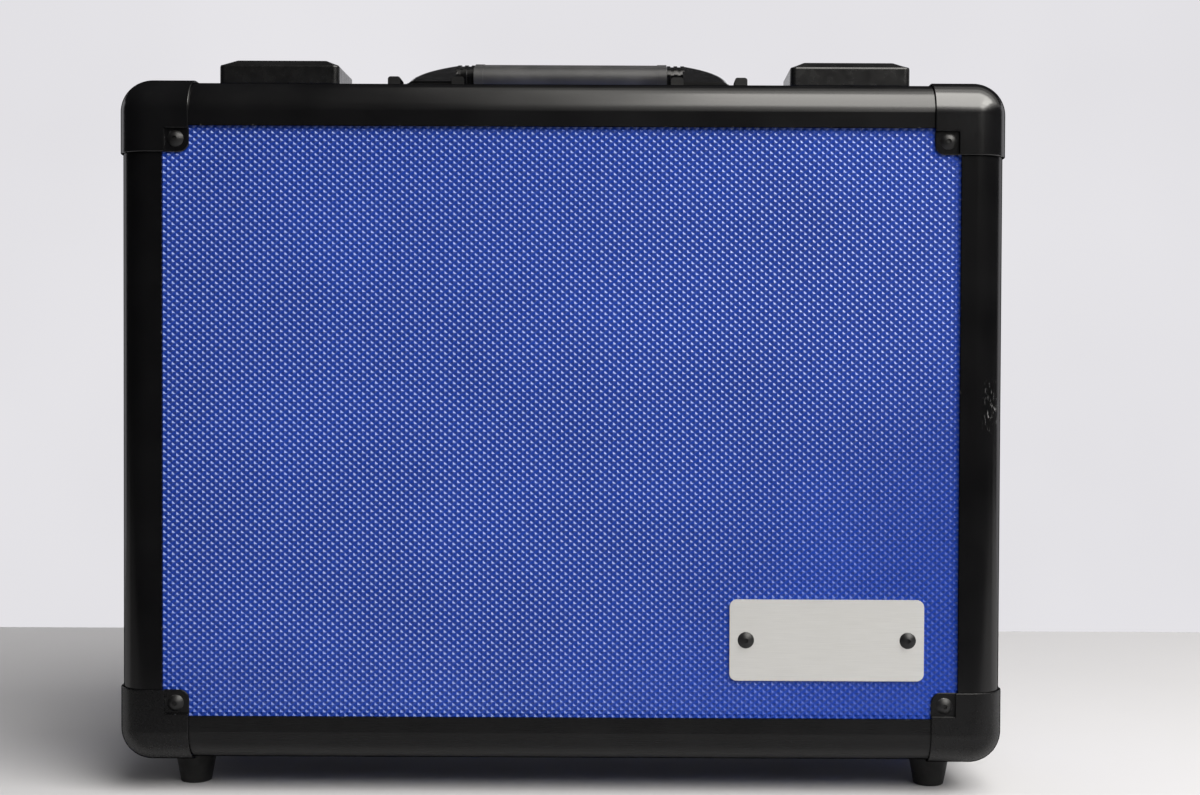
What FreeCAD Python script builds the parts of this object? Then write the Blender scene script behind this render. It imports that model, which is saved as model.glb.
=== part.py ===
import FreeCAD, Part
import math
import os
import re
import Sketcher

# A framed travel case that stands on four feet: a shallow lid in front and a deep base behind, hinged
# along the bottom edge, with two key flaps and a folding carry handle on top.
# Frame: X to the right, Y from the lid panel towards the back, Z up. Millimetres.
# The origin is on the floor, under the middle of the case.

Vector = FreeCAD.Vector

# Driving dimensions
SIZES = {
    # whole case, over the edge rails
    "case_width": 432,
    "case_height": 332,
    "case_depth": 150,
    "lid_depth": 48,
    "seam_gap": 0.3,
    # rounded edge rails with a slot for each panel
    "rail_leg": 22.5,
    "rail_radius": 15,
    "rail_skin": 1.6,
    "rail_flange": 1.2,
    "rail_end_gap": 0.2,
    "slot_depth": 6,
    "slot_gap": 0.1,
    "panel_thickness": 4,
    # rim rails round the mouth, with a lip on the lid
    "rim_cover": 11,
    "rim_web": 2,
    "lip_reach": 4,
    "lip_gap": 0.5,
    "lip_thickness": 1.5,
    # corner caps
    "cap_wall": 1.2,
    "cap_reach": 35.5,
    "cap_tab_radius": 5,
    "cap_fit": 0.05,
    # rivets
    "rivet_head": 8,
    "rivet_rise": 1.8,
    "rivet_shank": 4,
    "rivet_fit": 0.05,
    "rivet_inset": 6.5,
    "rivet_tail": 0.2,
    "rivet_dimple": 2.2,
    "rivet_dimple_depth": 0.9,
    # feet
    "foot_height": 15,
    "foot_top": 20.5,
    "foot_bottom": 15,
    "foot_inset": 31,
    "foot_spigot": 9,
    "foot_floor": 4,
    "foot_recess": 9.5,
    # nameplate on the lid panel
    "plate_width": 94.5,
    "plate_height": 39.5,
    "plate_thickness": 1,
    "plate_radius": 3.5,
    "plate_right": 16.6,
    "plate_bottom": 18.5,
    "plate_rivet_spacing": 78.7,
    # hinges under the seam
    "hinge_inset": 106,
    "hinge_width": 50,
    "hinge_leaf": 1.5,
    "hinge_drop": 3.4,
    "hinge_knuckle": 6,
    "hinge_pin": 3,
    "hinge_play": 0.05,
    "hinge_gap": 0.3,
    "hinge_rivet_spacing": 30,
    "hinge_rivet_back": 7,
    # key flaps
    "flap_offset": 2.45,
    "flap_width": 60,
    "flap_front": 28,
    "flap_length": 41,
    "flap_side": 11.6,
    "flap_rise": 3.55,
    "flap_run": 7,
    "flap_wall": 2.5,
    "flap_corner": 3,
    "flap_skirt": 1,
    "flap_lip": 2.2,
    "flap_roof": 3.2,
    # keeper strips on the lid, under the flaps
    "keeper_width": 40,
    "keeper_length": 7,
    "keeper_back": 7,
    "keeper_thickness": 1.4,
    "keeper_rivet_spacing": 26,
    # flap mounts on the base
    "mount_clearance": 4.5,
    "mount_length": 20,
    "mount_plate": 1.8,
    "mount_ear": 4,
    "mount_ear_length": 9,
    "mount_rivet_spacing": 26,
    "pivot_height": 6,
    "pivot_pin": 3.5,
    "pivot_play": 0.05,
    # key cylinders
    "lock_barrel": 10.6,
    "lock_head": 12.8,
    "lock_head_rise": 0.8,
    "lock_boss": 15,
    "lock_boss_drop": 3.9,
    "lock_play": 0.2,
    "lock_back": 50.5,
    "cam_length": 7.5,
    "cam_width": 5,
    "cam_thickness": 1.5,
    "cam_height": 4.2,
    "key_slot_length": 6,
    "key_slot_width": 1.2,
    "key_slot_depth": 2,
    "catch_width": 16,
    "catch_reach": 4.5,
    "catch_thickness": 1.5,
    "catch_gap": 0.6,
    # carry handle
    "handle_pin_back": 71,
    "handle_pin_height": 6.2,
    "handle_pin": 5,
    "handle_play": 0.1,
    "handle_rest": 20,
    "post_width": 6.6,
    "post_length": 12,
    "post_height": 13,
    "post_inner": 57.4,
    "post_outer": 90.8,
    "post_radius": 1.5,
    "bracket_plate": 2,
    "bracket_margin": 3.3,
    "bracket_front": 11.5,
    "bracket_rear": 24,
    "bracket_rivet_back": 18,
    "bracket_rivet_spacing": 24,
    "stop_start": 8,
    "stop_length": 3.4,
    "stop_gap": 0.3,
    "barrel_diameter": 8.6,
    "barrel_gap": 0.4,
    "barrel_width": 23.4,
    "arm_reach": 49.5,
    "arm_tip": 4,
    "arm_bulge": 70,
    "arm_thickness": 11,
    "arm_rim": 2.2,
    "arm_round": 3.2,
    "arm_pocket": 6.5,
    "neck_width": 18.5,
    "neck_thickness": 12.4,
    "neck_radius": 4,
    "neck_rib": 2,
    "neck_groove": 0.5,
    "neck_gap": 0.2,
    "bar_width": 10,
    "bar_thickness": 7,
    "grip_centre": 40,
    "grip_length": 105,
    "grip_width": 21,
    "grip_thickness": 13.2,
    "grip_radius": 6,
    "grip_play": 0.1,
    "collar_length": 5,
    "collar_rise": 0.25,
    # foam lining
    "foam_gap": 0.3,
    "lid_foam": 18,
    "floor_foam": 12,
    "side_foam": 10,
    "side_foam_start": 6,
    "divider_foam": 12,
    "divider_height": 116,
    "divider_side": 46,
}

# Places worked out from the driving dimensions
PLACES = {
    "z_bottom": "foot_height + cap_wall",
    "z_top": "foot_height + cap_wall + case_height",
    "z_middle": "foot_height + cap_wall + case_height / 2",
    "x_side": "case_width / 2",
    "y_back": "case_depth / 2",
    "y_front": "-case_depth / 2",
    "y_seam": "lid_depth - case_depth / 2",
    "slot_width": "panel_thickness + 2 * slot_gap",
    "shell_depth": "rail_skin + panel_thickness + 2 * slot_gap + rail_flange",
    "panel_outer": "rail_skin + slot_gap",
    "panel_inner": "rail_skin + slot_gap + panel_thickness",
    "slot_floor": "rail_leg - slot_depth",
    "panel_edge": "rail_leg - slot_depth + slot_gap",
    "rail_end": "rail_leg + rail_end_gap",
    "tab_outer": "rail_skin + slot_gap - cap_wall",
    "tab_start": "rail_leg + slot_gap",
    "rivet_place": "rail_leg + rivet_inset",
    "rivet_end": "rail_skin + panel_thickness + 2 * slot_gap + rail_flange + rivet_tail",
    "dome_radius": "(rivet_head * rivet_head / 4 + rivet_rise * rivet_rise) / (2 * rivet_rise)",
    "hinge_x": "case_width / 2 - hinge_inset",
    "hinge_z": "foot_height + cap_wall - hinge_drop",
    "bracket_end": "post_outer + post_width / 2 + bracket_margin",
    "flap_x": "(post_outer + post_width / 2 + bracket_margin + case_width / 2 - rail_leg) / 2 - flap_offset",
    "mount_width": "flap_width - 2 * (flap_wall + mount_clearance)",
    "pivot_y": "lid_depth - case_depth / 2 + mount_length + seam_gap - mount_ear_length / 2",
    "lock_y": "lock_back - case_depth / 2",
    "handle_y": "handle_pin_back - case_depth / 2",
    "lining": "rail_skin + panel_thickness + 2 * slot_gap + rail_flange + rivet_tail + foam_gap",
}

doc = FreeCAD.newDocument("travel_case")
nodes = []


def fill_sheet(name, rows):
    """Write one row per name: the word, then its value or formula with the word as alias."""
    sheet = doc.addObject("Spreadsheet::Sheet", name)
    for row, (word, content) in enumerate(rows.items(), start=1):
        sheet.set(f"A{row}", word)
        sheet.set(f"B{row}", str(content))
        sheet.setAlias(f"B{row}", word)
    return sheet


def formula(text):
    """Turn plain words of the two sheets into references that the document understands."""
    def reference(match):
        word = match.group(0)
        if word in SIZES:
            return f"Sizes.{word}"
        if word in PLACES:
            return f"Places.{word}"
        return word
    return re.sub(r"[a-z_]+", reference, str(text))


sizes = fill_sheet("Sizes", SIZES)
places = fill_sheet("Places", {word: "=" + formula(text) for word, text in PLACES.items()})
doc.recompute()


def number(text):
    """The present value of a formula, in millimetres or degrees."""
    value = sizes.evalExpression(formula(text))
    return float(getattr(value, "Value", value))


def bind(thing, **formulas):
    for name, text in formulas.items():
        thing.setExpression(name, formula(text))


def put(thing, place, turn=None):
    """Turn a thing, then bind where its own origin lies."""
    thing.Placement = FreeCAD.Placement(Vector(), turn or FreeCAD.Rotation())
    for letter, text in zip("xyz", place):
        thing.setExpression(f"Placement.Base.{letter}", formula(text))


def keep(thing):
    """Mark a finished sub-part: its label names its file."""
    nodes.append(thing)
    return thing


def box(name, x_range, y_range, z_range):
    solid = doc.addObject("Part::Box", name)
    spans = [f"({end}) - ({start})" for start, end in (x_range, y_range, z_range)]
    bind(solid, Length=spans[0], Width=spans[1], Height=spans[2])
    put(solid, [start for start, end in (x_range, y_range, z_range)])
    return solid


def cylinder(name, diameter, place, length, direction):
    solid = doc.addObject("Part::Cylinder", name)
    bind(solid, Radius=f"({diameter}) / 2", Height=length)
    put(solid, place, FreeCAD.Rotation(Vector(0, 0, 1), direction))
    return solid


def joined(name, parts):
    whole = doc.addObject("Part::MultiFuse", name)
    whole.Shapes = parts
    return whole


def grouped(name, parts):
    whole = doc.addObject("Part::Compound", name)
    whole.Links = parts
    return whole


def cut(name, base, tools):
    tool = tools[0] if len(tools) == 1 else grouped(f"{name}_tools", tools)
    rest = doc.addObject("Part::Cut", name)
    rest.Base = base
    rest.Tool = tool
    return rest


def rounded(name, base, rounds):
    """Fillet the edges whose middle lies at the given points; each round is (points, radius)."""
    doc.recompute()
    edges = []
    for points, radius in rounds:
        for point in points:
            target = Vector(*[number(text) for text in point])
            distances = []
            for edge in base.Shape.Edges:
                middle = edge.valueAt((edge.FirstParameter + edge.LastParameter) / 2)
                distances.append(middle.distanceToPoint(target))
            edges.append((distances.index(min(distances)) + 1, number(radius), number(radius)))
    solid = doc.addObject("Part::Fillet", name)
    solid.Base = base
    solid.Edges = edges
    return solid


def mirrored(name, source, normal, place=("0", "0", "0")):
    image = doc.addObject("Part::Mirroring", name)
    image.Source = source
    image.Normal = normal
    for letter, text in zip("xyz", place):
        image.setExpression(f"Base.{letter}", formula(text))
    return image


def draw(sketch, path):
    """Draw a closed outline, anticlockwise. A corner is (u, v); a third value makes the stretch that
    leaves it an arc of that radius. Every corner and radius is bound to the sheets."""
    corners = [Vector(number(corner[0]), number(corner[1]), 0) for corner in path]
    first = sketch.GeometryCount
    count = len(path)
    for index, corner in enumerate(path):
        start, end = corners[index], corners[(index + 1) % count]
        if len(corner) == 2:
            sketch.addGeometry(Part.LineSegment(start, end))
            continue
        radius = number(corner[2])
        chord = end - start
        rise = math.sqrt(max(radius ** 2 - (chord.Length / 2) ** 2, 0))
        centre = (start + end) / 2 + Vector(-chord.y, chord.x, 0).normalize() * rise
        angles = [math.atan2(point.y - centre.y, point.x - centre.x) for point in (start, end)]
        circle = Part.Circle(centre, Vector(0, 0, 1), radius)
        sketch.addGeometry(Part.ArcOfCircle(circle, angles[0], angles[1]))
    for index, corner in enumerate(path):
        here = first + index
        sketch.addConstraint(Sketcher.Constraint("Coincident", here, 2, first + (index + 1) % count, 1))
        for kind, text, value in (("DistanceX", corner[0], corners[index].x),
                                  ("DistanceY", corner[1], corners[index].y)):
            row = sketch.addConstraint(Sketcher.Constraint(kind, -1, 1, here, 1, value))
            sketch.setExpression(f"Constraints[{row}]", formula(text))
        if len(corner) == 3:
            row = sketch.addConstraint(Sketcher.Constraint("Radius", here, number(corner[2])))
            sketch.setExpression(f"Constraints[{row}]", formula(corner[2]))


def new_sketch(body, name, paths, height="0"):
    """A sketch on the body's own ground plane, lifted by a height."""
    sketch = body.newObject("Sketcher::SketchObject", name)
    ground = [plane for plane in body.Origin.OriginFeatures if plane.Role == "XY_Plane"][0]
    sketch.AttachmentSupport = [(ground, "")]
    sketch.MapMode = "FlatFace"
    sketch.setExpression("AttachmentOffset.Base.z", formula(height))
    for path in paths:
        draw(sketch, path)
    return sketch


def padded(body, name, paths, length, height="0", midplane=False):
    pad = body.newObject("PartDesign::Pad", name)
    pad.Profile = new_sketch(body, f"{name}_outline", paths, height)
    pad.Midplane = midplane
    bind(pad, Length=length)
    return pad


def rounded_rectangle(u_half, v_half, radius):
    """Outline of a rectangle about the sketch origin with round corners."""
    return [
        (f"-({u_half}) + ({radius})", f"-({v_half})"),
        (f"({u_half}) - ({radius})", f"-({v_half})", radius),
        (f"({u_half})", f"-({v_half}) + ({radius})"),
        (f"({u_half})", f"({v_half}) - ({radius})", radius),
        (f"({u_half}) - ({radius})", f"({v_half})"),
        (f"-({u_half}) + ({radius})", f"({v_half})", radius),
        (f"-({u_half})", f"({v_half}) - ({radius})"),
        (f"-({u_half})", f"-({v_half}) + ({radius})", radius),
    ]


def bar(name, path, centre, across, inward, length):
    """A straight extrusion: its outline runs along two directions from the outer edge of the case."""
    body = doc.addObject("PartDesign::Body", name)
    padded(body, f"{name}_pad", [path], length, midplane=True)
    put(body, centre, FreeCAD.Rotation(across, inward, across.cross(inward), "XYZ"))
    return body


LEFT, RIGHT = Vector(-1, 0, 0), Vector(1, 0, 0)
FORWARD, BACKWARD = Vector(0, -1, 0), Vector(0, 1, 0)
UP, DOWN = Vector(0, 0, 1), Vector(0, 0, -1)
SIDES = (("left", "-1", RIGHT), ("right", "1", LEFT))


# Rivets: a domed head with a dimple, and a shank that ends just inside the shell
def rivet(name, place, outward, seat):
    """The place is on the outer plane of the rails; the seat is how deep the head's seat lies under it."""
    dome = doc.addObject("Part::Sphere", f"{name}_dome")
    bind(dome, Radius="dome_radius", Angle1="asin((dome_radius - rivet_rise) / dome_radius)")
    put(dome, ("0", "0", "rivet_rise - dome_radius"))
    shank = cylinder(f"{name}_shank", "rivet_shank", ("0", "0", f"({seat}) - rivet_end"),
                     f"rivet_end - ({seat})", UP)
    dimple = cylinder(f"{name}_dimple", "rivet_dimple", ("0", "0", "rivet_rise - rivet_dimple_depth"),
                      "rivet_rise", UP)
    solid = cut(name, joined(f"{name}_blank", [dome, shank]), [dimple])
    axes = zip(place, (outward.x, outward.y, outward.z))
    seat_point = [f"({text}) - ({seat}) * ({int(step)})" for text, step in axes]
    put(solid, seat_point, FreeCAD.Rotation(UP, outward))
    return solid


def drill(name, place, outward):
    """A hole for a rivet, through everything between the head and the tail."""
    start = [f"({text}) - rivet_end * ({int(step)})"
             for text, step in zip(place, (outward.x, outward.y, outward.z))]
    return cylinder(name, "rivet_shank + 2 * rivet_fit", start, "2 * rivet_end", outward)


class RivetRow:
    """Rivets of one half of the case, and the holes that they need in each sub-part."""

    def __init__(self, name):
        self.name = name
        self.solids = []

    def add(self, place, outward, seat):
        number_of_this = len(self.solids) + 1
        self.solids.append(rivet(f"{self.name}_{number_of_this}", place, outward, seat))
        return drill(f"{self.name}_{number_of_this}_hole", place, outward)


lid_rivets = RivetRow("lid_rivets")
base_rivets = RivetRow("base_rivets")


# Both halves are built alike; they differ in where they start, in the rim and in what is fixed to them
class Half:
    def __init__(self, name, face, inward, seam, rivets):
        self.name = name
        self.face = face
        self.inward = inward
        self.seam = seam
        self.rivets = rivets
        self.sign = f"({int(inward.y)})"
        self.holes = {"panel": [], "wall_top": [], "wall_bottom": [], "wall_left": [], "wall_right": [],
                      "rim_top": [], "rim_bottom": []}

    def depth(self, distance):
        """The Y of a point this far inside the half's outer face."""
        return f"{self.face} + {self.sign} * ({distance})"

    def from_seam(self, distance):
        """The Y of a point this far from the seam, into the half."""
        return f"{self.seam} - {self.sign} * (seam_gap / 2 + ({distance}))"

    def ordered(self, start, end):
        """A Y range, low end first."""
        return (start, end) if self.inward.y > 0 else (end, start)


lid = Half("lid", "y_front", BACKWARD, "y_seam", lid_rivets)
base = Half("base", "y_back", FORWARD, "y_seam", base_rivets)


# Corner caps: a three-way shell over the ends of the rails, with a tab stepped down onto each panel
def corner_cap_master():
    corner = ("-x_side", "y_front", "z_top")
    steps = ("1", "1", "-1")

    def along(axis, distance):
        return f"({corner[axis]}) + ({steps[axis]}) * ({distance})"

    def block(name, spans):
        ranges = []
        for axis, (start, end) in enumerate(spans):
            pair = (along(axis, start), along(axis, end))
            ranges.append(pair if steps[axis] == "1" else pair[::-1])
        return box(name, *ranges)

    def shell(name, near, far, radius, tab_radius):
        solid = block(f"{name}_block", [(near, far)] * 3)
        half_way = f"(({near}) + ({far})) / 2"
        outer, inner = [], []
        for axis in range(3):
            outer.append([along(other, half_way if other == axis else near) for other in range(3)])
            inner.append([along(other, half_way if other == axis else far) for other in range(3)])
        rounds = [(outer, radius)]
        if tab_radius:
            rounds.append((inner, tab_radius))
        return rounded(name, solid, rounds)

    outside = shell("cap_outside", "-cap_wall", "cap_reach", "rail_radius + cap_wall", "cap_tab_radius")
    inside = shell("cap_inside", "-cap_fit", "cap_reach + cap_wall", "rail_radius + cap_fit", None)
    recesses, pads = [], []
    for axis in range(3):
        recess = [("tab_start + cap_wall", "2 * cap_reach")] * 3
        recess[axis] = ("-2 * cap_wall", "tab_outer")
        recesses.append(block(f"cap_recess_{axis + 1}", recess))
        pad = [("tab_start", "2 * cap_reach")] * 3
        pad[axis] = ("-2 * cap_wall", "panel_outer")
        pads.append(block(f"cap_pad_{axis + 1}", pad))
    stepped = cut("cap_stepped", outside, recesses)
    hollow = cut("cap_hollow", inside, pads)
    return cut("cap_master", stepped, [hollow])


def corner_caps(half):
    """Four caps on one half, drilled for three rivets each; the bottom one of each is the foot's."""
    depth = half.depth("rivet_place")
    for side, sign, _ in SIDES:
        outward = RIGHT if side == "right" else LEFT
        x_plane = f"{sign} * x_side"
        x_rivet = f"{sign} * (x_side - rivet_place)"
        for level, z_plane, z_rivet, vertical in (("top", "z_top", "z_top - rivet_place", UP),
                                                  ("bottom", "z_bottom", "z_bottom + rivet_place", DOWN)):
            image = cap_master
            name = f"{half.name}_corner_{level}_{side}"
            if side == "right":
                image = mirrored(f"{name}_across", image, RIGHT)
            if level == "bottom":
                image = mirrored(f"{name}_down", image, UP, ("0", "0", "z_middle"))
            if half is base:
                image = mirrored(f"{name}_back", image, BACKWARD)
            face_hole = half.rivets.add((x_rivet, half.face, z_rivet), half.inward * -1, "tab_outer")
            side_hole = half.rivets.add((x_plane, depth, z_rivet), outward, "tab_outer")
            if level == "top":
                end_place, seat = (x_rivet, depth, z_plane), "tab_outer"
            else:
                end_place = (f"{sign} * (x_side - foot_inset)", half.depth("foot_inset"), z_plane)
                seat = "-cap_wall - foot_floor"
            end_hole = half.rivets.add(end_place, vertical, seat)
            half.holes["panel"].append(face_hole)
            half.holes[f"wall_{side}"].append(side_hole)
            half.holes[f"wall_{level}"].append(end_hole)
            keep(cut(name, image, [face_hole, side_hole, end_hole]))


# Edge rails: outer skin with a round corner, and an inner angle that makes a slot for each panel
RAIL = [
    ("0", "rail_radius", "rail_radius"),
    ("rail_radius", "0"),
    ("rail_leg", "0"),
    ("rail_leg", "rail_skin"),
    ("slot_floor", "rail_skin"),
    ("slot_floor", "rail_skin + slot_width"),
    ("rail_leg", "rail_skin + slot_width"),
    ("rail_leg", "shell_depth"),
    ("shell_depth", "shell_depth"),
    ("shell_depth", "rail_leg"),
    ("rail_skin + slot_width", "rail_leg"),
    ("rail_skin + slot_width", "slot_floor"),
    ("rail_skin", "slot_floor"),
    ("rail_skin", "rail_leg"),
    ("0", "rail_leg"),
]


def edge_rails(half):
    along_width = "case_width - 2 * rail_end"
    along_height = "case_height - 2 * rail_end"
    for level, plane, inward in (("top", "z_top", DOWN), ("bottom", "z_bottom", UP)):
        centre = ("0", half.face, plane)
        keep(bar(f"{half.name}_edge_{level}", RAIL, centre, half.inward, inward, along_width))
    for side, sign, inward in SIDES:
        centre = (f"{sign} * x_side", half.face, "z_middle")
        keep(bar(f"{half.name}_edge_{side}", RAIL, centre, half.inward, inward, along_height))


def corner_rails(half):
    """Four short rails along the depth of the case, from under the caps to the seam."""
    start, end = half.depth("rail_end"), half.from_seam("0")
    length = f"{half.sign} * (({end}) - ({start}))"
    rails = []
    for side, sign, across in SIDES:
        for level, plane, inward in (("top", "z_top", DOWN), ("bottom", "z_bottom", UP)):
            centre = (f"{sign} * x_side", f"(({start}) + ({end})) / 2", plane)
            rails.append(bar(f"{half.name}_corner_rail_{level}_{side}", RAIL, centre, across, inward, length))
    keep(grouped(f"{half.name}_corner_rails", rails))


# Rim rails: a channel on the mouth edge of each wall; the lid's has a lip that enters the base
BASE_RIM = [
    ("0", "0"),
    ("rim_cover", "0"),
    ("rim_cover", "rail_skin"),
    ("rim_web", "rail_skin"),
    ("rim_web", "rail_skin + slot_width"),
    ("rim_cover", "rail_skin + slot_width"),
    ("rim_cover", "shell_depth"),
    ("0", "shell_depth"),
]
LID_RIM = BASE_RIM[:-1] + [
    ("rim_web", "shell_depth"),
    ("rim_web", "shell_depth + lip_gap + lip_thickness"),
    ("-lip_reach", "shell_depth + lip_gap + lip_thickness"),
    ("-lip_reach", "shell_depth + lip_gap"),
    ("0", "shell_depth + lip_gap"),
]


def rim_rails(half, outline):
    outward = half.inward * -1
    rails = []
    for level, plane, inward in (("top", "z_top", DOWN), ("bottom", "z_bottom", UP)):
        name = f"{half.name}_rim_{level}"
        rail = bar(f"{name}_bar", outline, ("0", half.from_seam("0"), plane), outward, inward,
                   "case_width - 2 * rail_end")
        rails.append(cut(name, rail, half.holes[f"rim_{level}"]))
    for side, sign, inward in SIDES:
        centre = (f"{sign} * x_side", half.from_seam("0"), "z_middle")
        rails.append(bar(f"{half.name}_rim_{side}", outline, centre, outward, inward,
                         "case_height - 2 * rail_end"))
    keep(grouped(f"{half.name}_rim", rails))


# Panels: the large face and four walls, held in the slots
def panels(half):
    width = ("panel_edge - x_side", "x_side - panel_edge")
    height = ("z_bottom + panel_edge", "z_top - panel_edge")
    wall_depth = half.ordered(half.depth("panel_edge"), half.from_seam("rim_web + slot_gap"))
    face_depth = half.ordered(half.depth("panel_outer"), half.depth("panel_inner"))
    boards = {
        "panel": (width, face_depth, height),
        "wall_top": (width, wall_depth, ("z_top - panel_inner", "z_top - panel_outer")),
        "wall_bottom": (width, wall_depth, ("z_bottom + panel_outer", "z_bottom + panel_inner")),
        "wall_left": (("panel_outer - x_side", "panel_inner - x_side"), wall_depth, height),
        "wall_right": (("x_side - panel_inner", "x_side - panel_outer"), wall_depth, height),
    }
    for piece, ranges in boards.items():
        name = f"{half.name}_{piece}"
        keep(cut(name, box(f"{name}_board", *ranges), half.holes[piece]))


# Feet: tapered, with a spigot in the tab recess of the cap and a recess for the rivet
def feet(half):
    pair = []
    for side, sign, _ in SIDES:
        name = f"{half.name}_foot_{side}"
        place = (f"{sign} * (x_side - foot_inset)", half.depth("foot_inset"))
        cone = doc.addObject("Part::Cone", f"{name}_cone")
        bind(cone, Radius1="foot_bottom / 2", Radius2="foot_top / 2", Height="foot_height")
        put(cone, (*place, "0"))
        spigot = cylinder(f"{name}_spigot", "foot_spigot", (*place, "foot_height - foot_floor"),
                          "foot_floor + cap_wall + tab_outer", UP)
        recess = cylinder(f"{name}_recess", "foot_recess", (*place, "-foot_height"),
                          "2 * foot_height - foot_floor", UP)
        hole = cylinder(f"{name}_hole", "rivet_shank + 2 * rivet_fit", (*place, "0"), "2 * foot_height", UP)
        pair.append(cut(name, joined(f"{name}_blank", [cone, spigot]), [recess, hole]))
    keep(grouped(f"{half.name}_feet", pair))


# Nameplate: a bare plate held by two rivets
def nameplate():
    right = "x_side - rail_leg - plate_right"
    middle = f"{right} - plate_width / 2"
    low = "z_bottom + rail_leg + plate_bottom"
    high = f"{low} + plate_height"
    front, rear = "y_front + panel_outer - plate_thickness", "y_front + panel_outer"
    blank = box("nameplate_blank", (f"{right} - plate_width", right), (front, rear), (low, high))
    half_way = f"({front}) + plate_thickness / 2"
    corners = [(x, half_way, z) for x in (f"{right} - plate_width", right) for z in (low, high)]
    soft = rounded("nameplate_soft", blank, [(corners, "plate_radius")])
    holes = []
    for sign in ("-1", "1"):
        place = (f"{middle} + {sign} * plate_rivet_spacing / 2", "y_front", f"{low} + plate_height / 2")
        holes.append(lid_rivets.add(place, FORWARD, "panel_outer - plate_thickness"))
    lid.holes["panel"] += holes
    keep(cut("nameplate", soft, holes))


# Hinges: two leaves with interleaved knuckles on one pin, under the seam
def hinge(side, sign):
    middle = f"{sign} * hinge_x"
    pitch = "hinge_width / 5"
    start = f"{middle} - hinge_width / 2"
    z_range = ("z_bottom - hinge_leaf", "z_bottom")
    clear = "hinge_knuckle / 2 + hinge_gap"
    bore = cylinder(f"hinge_bore_{side}", "hinge_pin + 2 * hinge_play", (start, "y_seam", "hinge_z"),
                    "hinge_width", RIGHT)
    for half, turns in ((lid, (1, 3)), (base, (0, 2, 4))):
        name = f"{half.name}_hinge_{side}"
        outer = half.from_seam("rim_cover")
        plate = box(f"{name}_plate", (start, f"{start} + hinge_width"),
                    half.ordered(outer, f"y_seam - {half.sign} * ({clear})"), z_range)
        pieces = [plate]
        for turn in turns:
            knuckle_start = f"{start} + {turn} * {pitch} + hinge_gap / 2"
            knuckle_length = f"{pitch} - hinge_gap"
            pieces.append(cylinder(f"{name}_knuckle_{turn}", "hinge_knuckle",
                                   (knuckle_start, "y_seam", "hinge_z"), knuckle_length, RIGHT))
            pieces.append(box(f"{name}_web_{turn}", (knuckle_start, f"{knuckle_start} + {knuckle_length}"),
                              half.ordered(outer, "y_seam"), z_range))
        holes = []
        for step in ("-1", "1"):
            place = (f"{middle} + {step} * hinge_rivet_spacing / 2", half.from_seam("hinge_rivet_back"),
                     "z_bottom")
            holes.append(half.rivets.add(place, DOWN, "-hinge_leaf"))
        half.holes["rim_bottom"] += holes
        half.holes["wall_bottom"] += holes
        keep(cut(name, joined(f"{name}_blank", pieces), [bore, *holes]))
    return cylinder(f"hinge_pin_{side}", "hinge_pin", (start, "y_seam", "hinge_z"), "hinge_width", RIGHT)


def hinges():
    keep(grouped("hinge_pins", [hinge(side, sign) for side, sign, _ in SIDES]))


# Keeper strips on the lid: low enough to pass under the flap; their rivets have the heads inside
def keeper(side, sign):
    name = f"latch_keeper_{side}"
    middle = f"{sign} * flap_x"
    y_range = (lid.from_seam("keeper_back + keeper_length / 2"),
               lid.from_seam("keeper_back - keeper_length / 2"))
    strip = box(f"{name}_strip", (f"{middle} - keeper_width / 2", f"{middle} + keeper_width / 2"),
                y_range, ("z_top", "z_top + keeper_thickness"))
    holes = []
    for index, step in enumerate(("-1", "1"), start=1):
        x_rivet = f"{middle} + {step} * keeper_rivet_spacing / 2"
        y_rivet = lid.from_seam("keeper_back")
        holes.append(cylinder(f"{name}_hole_{index}", "rivet_shank + 2 * rivet_fit",
                              (x_rivet, y_rivet, "z_top - 2 * shell_depth"), "4 * shell_depth", UP))
        pin = cylinder(f"{name}_rivet_{index}_shank", "rivet_shank",
                       (x_rivet, y_rivet, "z_top - shell_depth"), "shell_depth + keeper_thickness", UP)
        head = cylinder(f"{name}_rivet_{index}_head", "rivet_head",
                        (x_rivet, y_rivet, "z_top - shell_depth - rivet_rise"), "rivet_rise", UP)
        lid_rivets.solids.append(joined(f"{name}_rivet_{index}", [pin, head]))
    lid.holes["rim_top"] += holes
    lid.holes["wall_top"] += holes
    keep(cut(name, strip, holes))


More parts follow.
